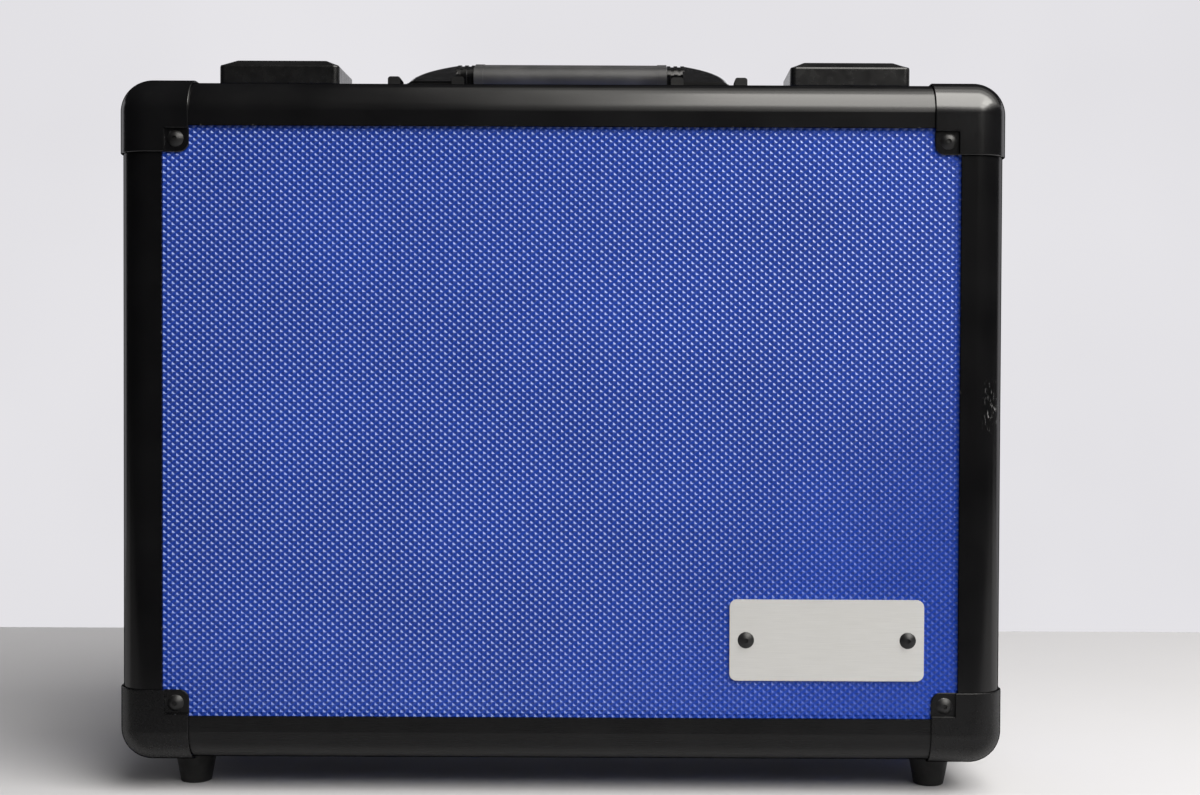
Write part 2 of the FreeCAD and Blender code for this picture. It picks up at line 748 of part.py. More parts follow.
# Flap mounts on the base: a stepped plate with two ears for the pivot pin and a catch for the key cam
def flap_mount(side, sign):
    name = f"latch_mount_{side}"
    middle = f"{sign} * flap_x"
    x_range = (f"{middle} - mount_width / 2", f"{middle} + mount_width / 2")
    start, end = "y_seam + seam_gap", "y_seam + seam_gap + mount_length"
    plate_top = "z_top + mount_plate"
    pieces = [box(f"{name}_plate", x_range, (start, end), ("z_top", plate_top)),
              box(f"{name}_step", x_range, (base.from_seam("rim_cover + slot_gap"), end),
                  ("z_top - panel_outer", "z_top"))]
    ear_top = "z_top + pivot_height + pivot_pin"
    for step in ("-1", "1"):
        ear_middle = f"{middle} + {step} * (mount_width - mount_ear) / 2"
        pieces.append(box(f"{name}_ear_{len(pieces)}",
                          (f"{ear_middle} - mount_ear / 2", f"{ear_middle} + mount_ear / 2"),
                          (f"{end} - mount_ear_length", end), ("z_top", ear_top)))
    catch_x = (f"{middle} - catch_width / 2", f"{middle} + catch_width / 2")
    catch_low = "z_top + cam_height + cam_thickness + catch_gap"
    catch_high = f"{catch_low} + catch_thickness"
    wall_start = "lock_y + cam_length + 2 * catch_gap"
    wall_end = f"{wall_start} + catch_thickness"
    pieces.append(box(f"{name}_catch_wall", catch_x, (wall_start, wall_end), ("z_top", catch_high)))
    pieces.append(box(f"{name}_catch", catch_x, (f"{wall_end} - catch_reach", wall_end),
                      (catch_low, catch_high)))
    holes = []
    for step in ("-1", "1"):
        place = (f"{middle} + {step} * mount_rivet_spacing / 2", base.from_seam("rim_cover / 2"), "z_top")
        holes.append(base_rivets.add(place, UP, "-mount_plate"))
    base.holes["rim_top"] += holes
    base.holes["wall_top"] += holes
    bore = cylinder(f"{name}_bore", "pivot_pin + 2 * pivot_play",
                    (f"{middle} - mount_width", "pivot_y", "z_top + pivot_height"), "2 * mount_width", RIGHT)
    keep(cut(name, joined(f"{name}_blank", pieces), [bore, *holes]))
    pin_half = "(flap_width - flap_wall) / 2"
    return cylinder(f"latch_pin_{side}", "pivot_pin",
                    (f"{middle} - {pin_half}", "pivot_y", "z_top + pivot_height"), f"2 * {pin_half}", RIGHT)


# Key flaps: a box lid with a hipped top, open underneath and behind, that turns on the pin at its back
def flap(side, sign):
    name = f"latch_flap_{side}"
    middle = f"{sign} * flap_x"
    front = "y_front + flap_front"
    shell = doc.addObject("PartDesign::Body", f"{name}_shell")
    foot = rounded_rectangle("flap_width / 2", "flap_length / 2", "flap_corner")
    top = rounded_rectangle("flap_width / 2 - flap_run", "flap_length / 2 - flap_run", "flap_corner / 2")
    padded(shell, f"{name}_sides", [foot], "flap_side - flap_skirt", "flap_skirt")
    hip = shell.newObject("PartDesign::AdditiveLoft", f"{name}_hip")
    hip.Profile = new_sketch(shell, f"{name}_hip_foot", [foot], "flap_side")
    hip.Sections = [new_sketch(shell, f"{name}_hip_top", [top], "flap_side + flap_rise")]
    hip.Ruled = True
    put(shell, (middle, f"{front} + flap_length / 2", "z_top"))
    inner_half = "(flap_width / 2 - flap_wall)"
    ceiling = "z_top + flap_side + flap_rise - flap_roof"
    cavity = box(f"{name}_cavity", (f"{middle} - {inner_half}", f"{middle} + {inner_half}"),
                 (f"{front} + flap_wall", f"{front} + 2 * flap_length"), ("z_top - flap_side", ceiling))
    relief = box(f"{name}_relief", (f"{middle} - flap_width", f"{middle} + flap_width"),
                 (f"{front} - flap_wall", f"{front} + flap_wall + flap_corner"),
                 ("z_top - flap_side", "z_top + flap_lip"))
    boss = cylinder(f"{name}_boss", "lock_boss", (middle, "lock_y", f"{ceiling} - lock_boss_drop"),
                    "lock_boss_drop + flap_roof / 2", UP)
    bore = cylinder(f"{name}_bore", "lock_barrel + 2 * lock_play", (middle, "lock_y", "z_top"),
                    "3 * flap_side", UP)
    hole_half = "(flap_width - flap_wall / 2) / 2"
    pin_hole = cylinder(f"{name}_pin_hole", "pivot_pin + 2 * pivot_play",
                        (f"{middle} - {hole_half}", "pivot_y", "z_top + pivot_height"),
                        f"2 * {hole_half}", RIGHT)
    hollow = cut(f"{name}_hollow", shell, [cavity])
    keep(cut(name, joined(f"{name}_blank", [hollow, boss]), [relief, bore, pin_hole]))


# Key cylinders: barrel with a flat head, a key slot on top and a cam below; unlocked, the cam points to +X
def lock(side, sign):
    name = f"lock_cylinder_{side}"
    middle = f"{sign} * flap_x"
    top = "flap_side + flap_rise"
    barrel = cylinder(f"{name}_barrel", "lock_barrel", (middle, "lock_y", "z_top + cam_height"),
                      f"{top} - cam_height + lock_head_rise", UP)
    head = cylinder(f"{name}_head", "lock_head", (middle, "lock_y", f"z_top + {top} + lock_play / 2"),
                    "lock_head_rise", UP)
    cam = box(f"{name}_cam", (middle, f"{middle} + cam_length"),
              ("lock_y - cam_width / 2", "lock_y + cam_width / 2"),
              ("z_top + cam_height", "z_top + cam_height + cam_thickness"))
    slot = box(f"{name}_slot", (f"{middle} - key_slot_width / 2", f"{middle} + key_slot_width / 2"),
               ("lock_y - key_slot_length / 2", "lock_y + key_slot_length / 2"),
               (f"z_top + {top} + lock_head_rise - key_slot_depth", f"z_top + {top} + 2 * lock_head_rise"))
    keep(cut(name, joined(f"{name}_blank", [barrel, head, cam]), [slot]))


def latches():
    for side, sign, _ in SIDES:
        keeper(side, sign)
        flap(side, sign)
        lock(side, sign)
    keep(grouped("latch_pins", [flap_mount(side, sign) for side, sign, _ in SIDES]))


# Handle brackets: a plate with two posts for the pin, and a stop in front of and behind the barrel
def brackets():
    low, plate_top = "z_top - panel_outer", "z_top - panel_outer + bracket_plate"
    inner_start = "post_inner - post_width / 2"
    outer_end = "post_outer + post_width / 2"
    plate = box("bracket_plate_right", (f"{inner_start} - bracket_margin", "bracket_end"),
                ("handle_y - bracket_front", "handle_y + bracket_rear"), (low, plate_top))
    pieces = [plate]
    post_top = "z_top + post_height"
    y_range = ("handle_y - post_length / 2", "handle_y + post_length / 2")
    for word in ("post_inner", "post_outer"):
        edges = (f"{word} - post_width / 2", f"{word} + post_width / 2")
        post = box(f"{word}_block", edges, y_range, (low, post_top))
        tops = [(x_edge, "handle_y", post_top) for x_edge in edges]
        pieces.append(rounded(f"{word}_soft", post, [(tops, "post_radius")]))
    half_arm = "arm_thickness / 2"
    stop_top = (f"z_top + handle_pin_height - stop_gap - {half_arm} * cos(handle_rest)"
                f" + tan(handle_rest) * (stop_start - {half_arm} * sin(handle_rest))")
    for sign in ("-1", "1"):
        ends = [f"handle_y + {sign} * stop_start", f"handle_y + {sign} * (stop_start + stop_length)"]
        pieces.append(box(f"handle_stop_{len(pieces)}", ("post_inner", "post_outer"),
                          ends if sign == "1" else ends[::-1], (low, stop_top)))
    blank = joined("handle_bracket_blank", pieces)
    pin_place = (inner_start, "handle_y", "z_top + handle_pin_height")
    pin_length = f"{outer_end} - ({inner_start})"
    bore = cylinder("handle_bracket_bore", "handle_pin + 2 * handle_play", pin_place, pin_length, RIGHT)
    pin = cylinder("handle_pin_right", "handle_pin", pin_place, pin_length, RIGHT)
    bored = cut("handle_bracket_bored", blank, [bore])
    for side, sign, _ in SIDES:
        holes = []
        for step in ("-1", "1"):
            x_rivet = f"{sign} * ((post_inner + post_outer) / 2 + {step} * bracket_rivet_spacing / 2)"
            place = (x_rivet, "handle_y + bracket_rivet_back", "z_top")
            holes.append(base_rivets.add(place, UP, "panel_outer - bracket_plate"))
        base.holes["wall_top"] += holes
        image = bored if side == "right" else mirrored("handle_bracket_image", bored, RIGHT)
        keep(cut(f"handle_bracket_{side}", image, holes))
    keep(grouped("handle_pins", [mirrored("handle_pin_left", pin, RIGHT), pin]))


def lay_back(thing):
    """Put a part of the handle, drawn flat about the pin axis, on the pin at its resting slope."""
    put(thing, ("0", "handle_y", "z_top + handle_pin_height"), FreeCAD.Rotation(RIGHT, number("handle_rest")))
    thing.setExpression("Placement.Rotation.Angle", formula("handle_rest"))


# Necks of the handle: a core with three ribs between the end of the grip and the arm
def handle_neck(arm_side):
    start = "(grip_length / 2 + neck_gap)"
    length = f"({arm_side} + arm_rim / 2 - {start})"
    core = rounded_rectangle("neck_width / 2 - neck_groove", "neck_thickness / 2 - neck_groove",
                             "neck_radius")
    rib = rounded_rectangle("neck_width / 2", "neck_thickness / 2", "neck_radius")
    place = (f"{start} + {length} / 2", "grip_centre", "0")
    pieces = [bar("handle_neck_core", core, place, BACKWARD, UP, length)]
    for share in ("0", "0.5", "1"):
        middle = f"{start} + neck_rib / 2 + {share} * ({length} - neck_rib)"
        pieces.append(bar(f"handle_neck_rib_{len(pieces)}", rib, (middle, "grip_centre", "0"),
                          BACKWARD, UP, "neck_rib"))
    return pieces


# Handle bow: two hollow fin-shaped arms with blunt tips, a barrel on each and a bar between them
def handle_bow():
    inner = "(post_inner + post_width / 2 + barrel_gap)"
    outer = f"({inner} + barrel_width)"
    arm = doc.addObject("PartDesign::Body", "handle_arm")
    padded(arm, "handle_arm_pad",
           [[(inner, "0"), (outer, "0", "arm_bulge"), (f"{inner} + arm_tip", "arm_reach", "arm_tip"),
             (inner, "arm_reach - arm_tip / 2")]],
           "arm_thickness", midplane=True)
    pocket = doc.addObject("PartDesign::Body", "handle_arm_pocket")
    pocket_start = "barrel_diameter / 2 + arm_rim / 2"
    padded(pocket, "handle_arm_pocket_pad",
           [[(f"{inner} + arm_rim", pocket_start), (f"{outer} - 2 * arm_rim", pocket_start, "arm_bulge"),
             (f"{inner} + arm_rim", "arm_reach - 4 * arm_rim")]],
           "arm_thickness / 2 + arm_pocket", "-arm_thickness")
    barrel = cylinder("handle_barrel", "barrel_diameter", (inner, "0", "0"), "barrel_width", RIGHT)
    arch = (f"{outer} - arm_reach / 8", "arm_reach / 2", "arm_thickness / 2")
    soft_arm = rounded("handle_arm_soft", arm, [([arch], "arm_round")])
    shell = cut("handle_arm_hollow", soft_arm, [pocket])
    right = joined("handle_arm_right", [shell, barrel, *handle_neck(inner)])
    left = mirrored("handle_arm_left", right, RIGHT)
    bar_end = f"({inner} + arm_rim / 2)"
    cross = box("handle_bar", (f"-{bar_end}", bar_end),
                ("grip_centre - bar_width / 2", "grip_centre + bar_width / 2"),
                ("-bar_thickness / 2", "bar_thickness / 2"))
    bore = cylinder("handle_bore", "handle_pin + 2 * handle_play", (f"-2 * {outer}", "0", "0"),
                    f"4 * {outer}", RIGHT)
    lay_back(keep(cut("handle_bow", joined("handle_bow_blank", [right, left, cross]), [bore])))


# Grip: a soft sleeve on the bar with a collar at each end
def handle_grip():
    centre = ("0", "grip_centre", "0")
    sleeve = bar("handle_sleeve", rounded_rectangle("grip_width / 2", "grip_thickness / 2", "grip_radius"),
                 centre, BACKWARD, UP, "grip_length")
    pieces = [sleeve]
    collar = rounded_rectangle("grip_width / 2 + collar_rise", "grip_thickness / 2 + collar_rise",
                               "grip_radius")
    for side, sign, _ in SIDES:
        place = (f"{sign} * (grip_length - collar_length) / 2", "grip_centre", "0")
        pieces.append(bar(f"handle_collar_{side}", collar, place, BACKWARD, UP, "collar_length"))
    hole = box("handle_grip_hole", ("-grip_length", "grip_length"),
               ("grip_centre - bar_width / 2 - grip_play", "grip_centre + bar_width / 2 + grip_play"),
               ("-bar_thickness / 2 - grip_play", "bar_thickness / 2 + grip_play"))
    lay_back(keep(cut("handle_grip", joined("handle_grip_blank", pieces), [hole])))


# Foam lining: a pad in the lid, and in the base a floor pad, four side strips and two dividers
def foam():
    x_half = "(x_side - lining)"
    low, high = "z_bottom + lining", "z_top - lining"
    full = (f"-{x_half}", x_half)
    keep(box("lid_foam", full, ("y_front + lining", "y_front + lining + lid_foam"), (low, high)))
    floor_start = "y_back - lining - floor_foam"
    keep(box("base_foam_floor", full, (floor_start, "y_back - lining"), (low, high)))
    depth = ("y_seam + side_foam_start", f"{floor_start} - foam_gap")
    inner_low, inner_high = f"{low} + side_foam + foam_gap", f"{high} - side_foam - foam_gap"
    strips = [box("foam_bottom", full, depth, (low, f"{low} + side_foam")),
              box("foam_top", full, depth, (f"{high} - side_foam", high)),
              box("foam_left", (f"-{x_half}", f"side_foam - {x_half}"), depth, (inner_low, inner_high)),
              box("foam_right", (f"{x_half} - side_foam", x_half), depth, (inner_low, inner_high))]
    keep(grouped("base_foam_sides", strips))
    clear_half = f"({x_half} - side_foam - foam_gap)"
    cross_top = "z_bottom + divider_height + divider_foam"
    cross = box("foam_cross", (f"-{clear_half}", clear_half), depth, ("z_bottom + divider_height", cross_top))
    upright = box("foam_upright", ("divider_side", "divider_side + divider_foam"), depth,
                  (f"{cross_top} + foam_gap", inner_high))
    keep(grouped("base_foam_dividers", [cross, upright]))


cap_master = corner_cap_master()
hinges()
latches()
brackets()
handle_bow()
handle_grip()
nameplate()
for half, outline in ((lid, LID_RIM), (base, BASE_RIM)):
    corner_caps(half)
    edge_rails(half)
    corner_rails(half)
    rim_rails(half, outline)
    panels(half)
    feet(half)
    keep(grouped(f"{half.name}_rivets", half.rivets.solids))
foam()
doc.recompute()

# Every object has to be sound before a file is written
for thing in doc.Objects:
    if "Invalid" in thing.State or "Error" in thing.State:
        raise RuntimeError(f"{thing.Label} did not build: {thing.State}")
for node in nodes:
    if node.Shape.isNull() or not node.Shape.isValid() or not node.Shape.Solids:
        raise RuntimeError(f"{node.Label} is not a valid solid")

os.makedirs("parts", exist_ok=True)
for node in nodes:
    node.Shape.exportStep(f"parts/{node.Label}.step")
print(f"{len(nodes)} sub-parts written")
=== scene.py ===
import math

import bmesh
import bpy
from mathutils import Matrix, Vector


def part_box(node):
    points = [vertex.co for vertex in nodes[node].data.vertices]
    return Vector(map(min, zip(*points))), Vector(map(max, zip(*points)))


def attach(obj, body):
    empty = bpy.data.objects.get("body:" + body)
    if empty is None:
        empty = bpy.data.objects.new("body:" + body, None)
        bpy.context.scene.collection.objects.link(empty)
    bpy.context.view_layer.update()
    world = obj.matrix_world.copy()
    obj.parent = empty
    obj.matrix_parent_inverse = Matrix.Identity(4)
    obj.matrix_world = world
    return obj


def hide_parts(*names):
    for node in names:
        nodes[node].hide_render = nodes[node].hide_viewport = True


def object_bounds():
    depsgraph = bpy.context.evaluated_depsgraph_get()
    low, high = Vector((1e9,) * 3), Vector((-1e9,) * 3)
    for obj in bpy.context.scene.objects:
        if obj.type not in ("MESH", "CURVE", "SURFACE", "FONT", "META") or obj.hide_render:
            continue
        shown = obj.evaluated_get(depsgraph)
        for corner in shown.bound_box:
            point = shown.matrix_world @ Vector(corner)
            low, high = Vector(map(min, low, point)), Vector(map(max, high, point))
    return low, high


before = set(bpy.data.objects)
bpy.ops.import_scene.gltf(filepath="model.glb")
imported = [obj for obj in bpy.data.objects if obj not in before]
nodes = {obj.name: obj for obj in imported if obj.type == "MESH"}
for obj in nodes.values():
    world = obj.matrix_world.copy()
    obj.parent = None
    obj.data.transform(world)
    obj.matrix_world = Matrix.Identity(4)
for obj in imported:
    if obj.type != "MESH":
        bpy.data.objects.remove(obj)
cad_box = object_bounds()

# A framed travel case on four feet: textured blue panels in black rails, corner caps, flaps and a handle.
# Metres, in the frame of the solids: X to the right, Y from the lid to the back, Z up.

MM = 0.001
scene = bpy.context.scene
scene.view_settings.view_transform = "Standard"


# Shader nodes: helpers that add and join them
def plug(tree, target, value):
    """Give a socket a constant or another node's output."""
    if isinstance(value, bpy.types.NodeSocket):
        tree.links.new(value, target)
    else:
        target.default_value = value


def calculate(tree, operation, first, second=0.0):
    """One sum, product or comparison."""
    node = tree.nodes.new("ShaderNodeMath")
    node.operation = operation
    plug(tree, node.inputs[0], first)
    plug(tree, node.inputs[1], second)
    return node.outputs["Value"]


class Graph:
    """One material and its node tree. Patterns follow the piece's own coordinates, in metres."""

    def __init__(self, name):
        self.material = bpy.data.materials.new(name)
        self.material.use_nodes = True
        self.tree = self.material.node_tree
        self.tree.nodes.clear()
        output = self.tree.nodes.new("ShaderNodeOutputMaterial")
        self.shader = self.tree.nodes.new("ShaderNodeBsdfPrincipled")
        self.join(self.shader.outputs["BSDF"], output.inputs["Surface"])
        self.place = self.tree.nodes.new("ShaderNodeTexCoord").outputs["Object"]

    def join(self, source, target):
        self.tree.links.new(source, target)

    def feed(self, target, value):
        plug(self.tree, target, value)

    def stretched(self, scale):
        """Coordinates scaled along each axis, for brushed or drawn surfaces."""
        mapping = self.tree.nodes.new("ShaderNodeMapping")
        self.join(self.place, mapping.inputs["Vector"])
        mapping.inputs["Scale"].default_value = scale
        return mapping.outputs["Vector"]

    def axis(self, name):
        """One of the piece's own coordinates."""
        node = self.tree.nodes.new("ShaderNodeSeparateXYZ")
        self.join(self.place, node.inputs[0])
        return node.outputs[name]

    def noise(self, scale, detail=3.0, roughness=0.5, where=None):
        texture = self.tree.nodes.new("ShaderNodeTexNoise")
        self.join(where or self.place, texture.inputs["Vector"])
        texture.inputs["Scale"].default_value = scale
        texture.inputs["Detail"].default_value = detail
        texture.inputs["Roughness"].default_value = roughness
        return texture.outputs["Fac"]

    def cells(self, scale):
        texture = self.tree.nodes.new("ShaderNodeTexVoronoi")
        self.join(self.place, texture.inputs["Vector"])
        texture.inputs["Scale"].default_value = scale
        return texture.outputs["Distance"]

    def spread(self, source, low, high, new_low=0.0, new_high=1.0):
        """Map a range of values to another range, clamped."""
        node = self.tree.nodes.new("ShaderNodeMapRange")
        self.join(source, node.inputs["Value"])
        ends = {"From Min": low, "From Max": high, "To Min": new_low, "To Max": new_high}
        for name, value in ends.items():
            node.inputs[name].default_value = value
        return node.outputs["Result"]

    def math(self, operation, first, second=0.0):
        return calculate(self.tree, operation, first, second)

    def mix(self, factor, first, second):
        node = self.tree.nodes.new("ShaderNodeMix")
        node.data_type = "RGBA"
        self.feed(node.inputs["Factor"], factor)
        for name, value in (("A", first), ("B", second)):
            socket = [i for i in node.inputs if i.name == name and i.type == "RGBA"][0]
            self.feed(socket, value)
        return [o for o in node.outputs if o.type == "RGBA"][0]

    def edges(self, radius):
        """1 along convex and concave edges, 0 on open faces."""
        bevel = self.tree.nodes.new("ShaderNodeBevel")
        bevel.samples = 4
        bevel.inputs["Radius"].default_value = radius
        geometry = self.tree.nodes.new("ShaderNodeNewGeometry")
        dot = self.tree.nodes.new("ShaderNodeVectorMath")
        dot.operation = "DOT_PRODUCT"
        self.join(bevel.outputs["Normal"], dot.inputs[0])
        self.join(geometry.outputs["Normal"], dot.inputs[1])
        return self.spread(dot.outputs["Value"], 0.98, 0.75)

    def slant(self):
        """0 where a surface is seen square on, rising to 1 where it is seen edge on."""
        return self.tree.nodes.new("ShaderNodeLayerWeight").outputs["Facing"]

    def bump(self, height, strength, distance, before=None):
        node = self.tree.nodes.new("ShaderNodeBump")
        node.inputs["Strength"].default_value = strength
        node.inputs["Distance"].default_value = distance
        self.join(height, node.inputs["Height"])
        if before:
            self.join(before, node.inputs["Normal"])
        return node.outputs["Normal"]

    def finish(self, color, roughness, normal, **constants):
        self.feed(self.shader.inputs["Base Color"], color)
        self.feed(self.shader.inputs["Roughness"], roughness)
        self.join(normal, self.shader.inputs["Normal"])
        for name, value in constants.items():
            self.shader.inputs[name.replace("_", " ")].default_value = value
        return self.material


def color(red, green, blue):
    return (red, green, blue, 1.0)


# Materials
def blue_sheet():
    """Embossed plastic sheet: deep blue, satin, slightly cloudy."""
    graph = Graph("blue_sheet")
    cloud = graph.spread(graph.noise(14.0, 4.0), 0.35, 0.65)
    tint = graph.mix(cloud, color(0.0075, 0.034, 0.275), color(0.010, 0.042, 0.322))
    grain = graph.noise(5200.0, 2.0)
    rough = graph.spread(graph.noise(160.0, 4.0), 0.3, 0.7, 0.16, 0.23)
    normal = graph.bump(grain, 0.12, 0.00008)
    return graph.finish(tint, rough, normal, IOR=1.66, Specular_Tint=color(0.80, 0.93, 1.0))


def scuff_marks(graph, x_range, z_range):
    """Short light scratches inside one patch of a piece, strongest in its middle."""
    marks = graph.spread(graph.noise(1.0, 5.0, 0.7, graph.stretched((1500.0, 900.0, 260.0))), 0.60, 0.68)
    for name, (low, high) in (("X", x_range), ("Z", z_range)):
        middle, half = (low + high) / 2, (high - low) / 2
        away = graph.math("ABSOLUTE", graph.math("SUBTRACT", graph.axis(name), middle))
        marks = graph.math("MULTIPLY", marks, graph.spread(away, half, 0.4 * half))
    return marks


def black_metal(name, along, rough_low, rough_high, wear, gloss, scuffs=None):
    """Black coat on drawn or pressed metal; the scale of each axis sets which way the drawn lines run."""
    graph = Graph(name)
    lines = graph.noise(1.0, 4.0, 0.6, graph.stretched(along))
    cloud = graph.noise(35.0, 4.0)
    tint = graph.mix(graph.spread(cloud, 0.3, 0.7),
                     color(0.0022, 0.0022, 0.0025), color(0.0042, 0.0042, 0.0046))
    chips = graph.spread(graph.noise(420.0, 5.0, 0.65), 0.60, 0.72)
    worn = graph.math("MULTIPLY", graph.edges(0.0007), graph.math("MULTIPLY", chips, wear))
    tint = graph.mix(worn, tint, color(0.30, 0.30, 0.31))
    if scuffs:
        tint = graph.mix(scuff_marks(graph, *scuffs), tint, color(0.32, 0.32, 0.33))
    rough = graph.spread(graph.math("ADD", lines, graph.math("MULTIPLY", cloud, 0.5)), 0.45, 1.05,
                         rough_low, rough_high)
    peel = graph.noise(900.0, 2.0)
    normal = graph.bump(peel, 0.02, 0.0002, graph.bump(lines, 0.02, 0.0001))
    graph.feed(graph.shader.inputs["Specular IOR Level"], graph.spread(graph.slant(), 0.48, 0.80, 0.5, 0.0))
    return graph.finish(tint, rough, normal, IOR=gloss)


def moulded_black(name, tone, rough_low, rough_high, grain_scale, grain_strength):
    """Moulded black plastic or rubber with a fine spark-eroded grain."""
    graph = Graph(name)
    grain = graph.cells(grain_scale)
    cloud = graph.noise(60.0, 4.0)
    tint = graph.mix(graph.spread(cloud, 0.3, 0.7),
                     color(0.7 * tone, 0.7 * tone, 0.74 * tone), color(1.3 * tone, 1.3 * tone, 1.36 * tone))
    rubbed = graph.math("MULTIPLY", graph.edges(0.0006), 0.35)
    tint = graph.mix(rubbed, tint, color(tone + 0.04, tone + 0.04, tone + 0.042))
    rough = graph.spread(graph.noise(240.0, 3.0), 0.3, 0.7, rough_low, rough_high)
    return graph.finish(tint, rough, graph.bump(grain, grain_strength, 0.0002), IOR=1.48)


def brushed_plate():
    """Bare aluminium, brushed along its length."""
    graph = Graph("brushed_plate")
    lines = graph.noise(1.0, 5.0, 0.65, graph.stretched((60.0, 3000.0, 5200.0)))
    cloud = graph.noise(40.0, 3.0)
    tint = graph.mix(graph.spread(lines, 0.3, 0.7), color(0.56, 0.56, 0.555), color(0.65, 0.65, 0.645))
    dulled = graph.spread(cloud, 0.4, 0.8, 0.0, 0.12)
    tint = graph.mix(dulled, tint, color(0.51, 0.51, 0.50))
    rough = graph.spread(lines, 0.3, 0.7, 0.36, 0.52)
    return graph.finish(tint, rough, graph.bump(lines, 0.10, 0.00006), Metallic=0.45)


def bare_metal(name, tint_low, tint_high, rough_low, rough_high):
    """Turned steel or nickel with fine lathe marks."""
    graph = Graph(name)
    marks = graph.noise(1900.0, 4.0)
    tint = graph.mix(graph.spread(graph.noise(90.0, 3.0), 0.3, 0.7), tint_low, tint_high)
    rough = graph.spread(marks, 0.3, 0.7, rough_low, rough_high)
    return graph.finish(tint, rough, graph.bump(marks, 0.05, 0.00003), Metallic=0.6)


def open_foam():
    """Dark open-cell foam, with painted shade in its pores."""
    graph = Graph("open_foam")
    pores_and_shade = graph.cells(1500.0)
    cloud = graph.spread(graph.noise(25.0, 4.0), 0.3, 0.7)
    tint = graph.mix(cloud, color(0.018, 0.018, 0.020), color(0.030, 0.030, 0.033))
    # Painted shade: the middle of each pore is darkened towards black, as if shade fell into the cells
    tint = graph.mix(graph.spread(pores_and_shade, 0.2, 0.7, 0.0, 0.6), color(0.008, 0.008, 0.009), tint)
    return graph.finish(tint, graph.spread(pores_and_shade, 0.0, 0.8, 0.98, 0.85), graph.bump(pores_and_shade, 0.5, 0.0006),
                        Sheen_Weight=0.25, Sheen_Roughness=0.6)


BLUE = blue_sheet()
RAIL_X = black_metal("rail_black_across", (25.0, 2600.0, 2600.0), 0.17, 0.22, 0.5, 1.55)
RAIL_Y = black_metal("rail_black_deep", (2600.0, 25.0, 2600.0), 0.17, 0.22, 0.5, 1.55)
RAIL_Z = black_metal("rail_black_upright", (2600.0, 2600.0, 25.0), 0.17, 0.22, 0.5, 1.42)
RAIL_LOW = black_metal("rail_black_dulled", (25.0, 2600.0, 2600.0), 0.24, 0.32, 0.7, 1.34)
RAIL_SCUFFED = black_metal("rail_black_scuffed", (2600.0, 2600.0, 25.0), 0.17, 0.22, 0.5, 1.42,
                           ((0.204, 0.2145), (0.176, 0.206)))
CAP = black_metal("cap_black", (900.0, 900.0, 900.0), 0.15, 0.20, 0.6, 1.68)
CAP_LOW = black_metal("cap_black_dulled", (900.0, 900.0, 900.0), 0.24, 0.32, 0.8, 1.36)
FITTING = black_metal("fitting_black", (700.0, 700.0, 700.0), 0.30, 0.42, 0.5, 1.50)
RIVET = black_metal("rivet_black", (1200.0, 1200.0, 1200.0), 0.40, 0.50, 0.8, 1.50)
FLAP = moulded_black("flap_black", 0.005, 0.21, 0.30, 2600.0, 0.06)
BOW = moulded_black("handle_black", 0.004, 0.07, 0.12, 2200.0, 0.015)
GRIP = moulded_black("grip_grey", 0.034, 0.38, 0.52, 1500.0, 0.22)
RUBBER = moulded_black("foot_rubber", 0.006, 0.62, 0.80, 1200.0, 0.30)
PLATE = brushed_plate()
STEEL = bare_metal("pin_steel", color(0.36, 0.36, 0.37), color(0.46, 0.46, 0.47), 0.28, 0.42)
NICKEL = bare_metal("lock_nickel", color(0.52, 0.51, 0.49), color(0.60, 0.59, 0.57), 0.18, 0.30)
FOAM = open_foam()


# Which solids wear which material: the first word found in a solid's name decides
MATERIAL_WORDS = (("panel", BLUE), ("wall", BLUE), ("nameplate", PLATE), ("rivets", RIVET),
                  ("corner_rails", RAIL_Y), ("edge_bottom", RAIL_LOW), ("edge_top", RAIL_X), ("rim", RAIL_X),
                  ("lid_edge_right", RAIL_SCUFFED), ("edge", RAIL_Z), ("corner_bottom", CAP_LOW),
                  ("corner", CAP), ("feet", RUBBER), ("flap", FLAP), ("handle_grip", GRIP),
                  ("handle_bow", BOW), ("lock", NICKEL), ("pins", STEEL), ("foam", FOAM))

# Width of the small round on each kind of solid's edges, in millimetres
EDGE_ROUNDS = (("corner_top", 0.45), ("corner_bottom", 0.45), ("flap", 0.7), ("feet", 0.6))


def by_name(name, words, otherwise):
    """What goes with the first word that a solid's name contains."""
    return next((value for word, value in words if word in name), otherwise)


def round_edges(solid, width):
    weld = solid.modifiers.new("weld", "WELD")
    weld.merge_threshold = 0.001 * MM
    bevel = solid.modifiers.new("round", "BEVEL")
    bevel.width = width * MM
    bevel.segments = 3
    bevel.limit_method = "ANGLE"
    bevel.angle_limit = math.radians(35)
    bevel.use_clamp_overlap = False
    even = solid.modifiers.new("even", "WEIGHTED_NORMAL")
    even.keep_sharp = True


def dress_solids():
    for name, solid in nodes.items():
        solid.data.materials.clear()
        solid.data.materials.append(by_name(name, MATERIAL_WORDS, FITTING))
        width = by_name(name, EDGE_ROUNDS, 0.0)
        if width:
            round_edges(solid, width)


dress_solids()


# New pieces
def new_piece(name, points, faces, material, body):
    mesh = bpy.data.meshes.new(name)
    mesh.from_pydata(points, [], faces)
    mesh.update()
    piece = bpy.data.objects.new(name, mesh)
    scene.collection.objects.link(piece)
    mesh.materials.append(material)
    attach(piece, body)
    return piece


# Embossing: rows of small raised diamonds, each row shifted by half a pitch
PITCH, ROW = 4.2 * MM, 1.78 * MM
DIAMOND_WIDE, DIAMOND_TALL = 1.64 * MM, 1.40 * MM
TIP_SHARE, DIAMOND_RISE = 0.16, 0.46 * MM


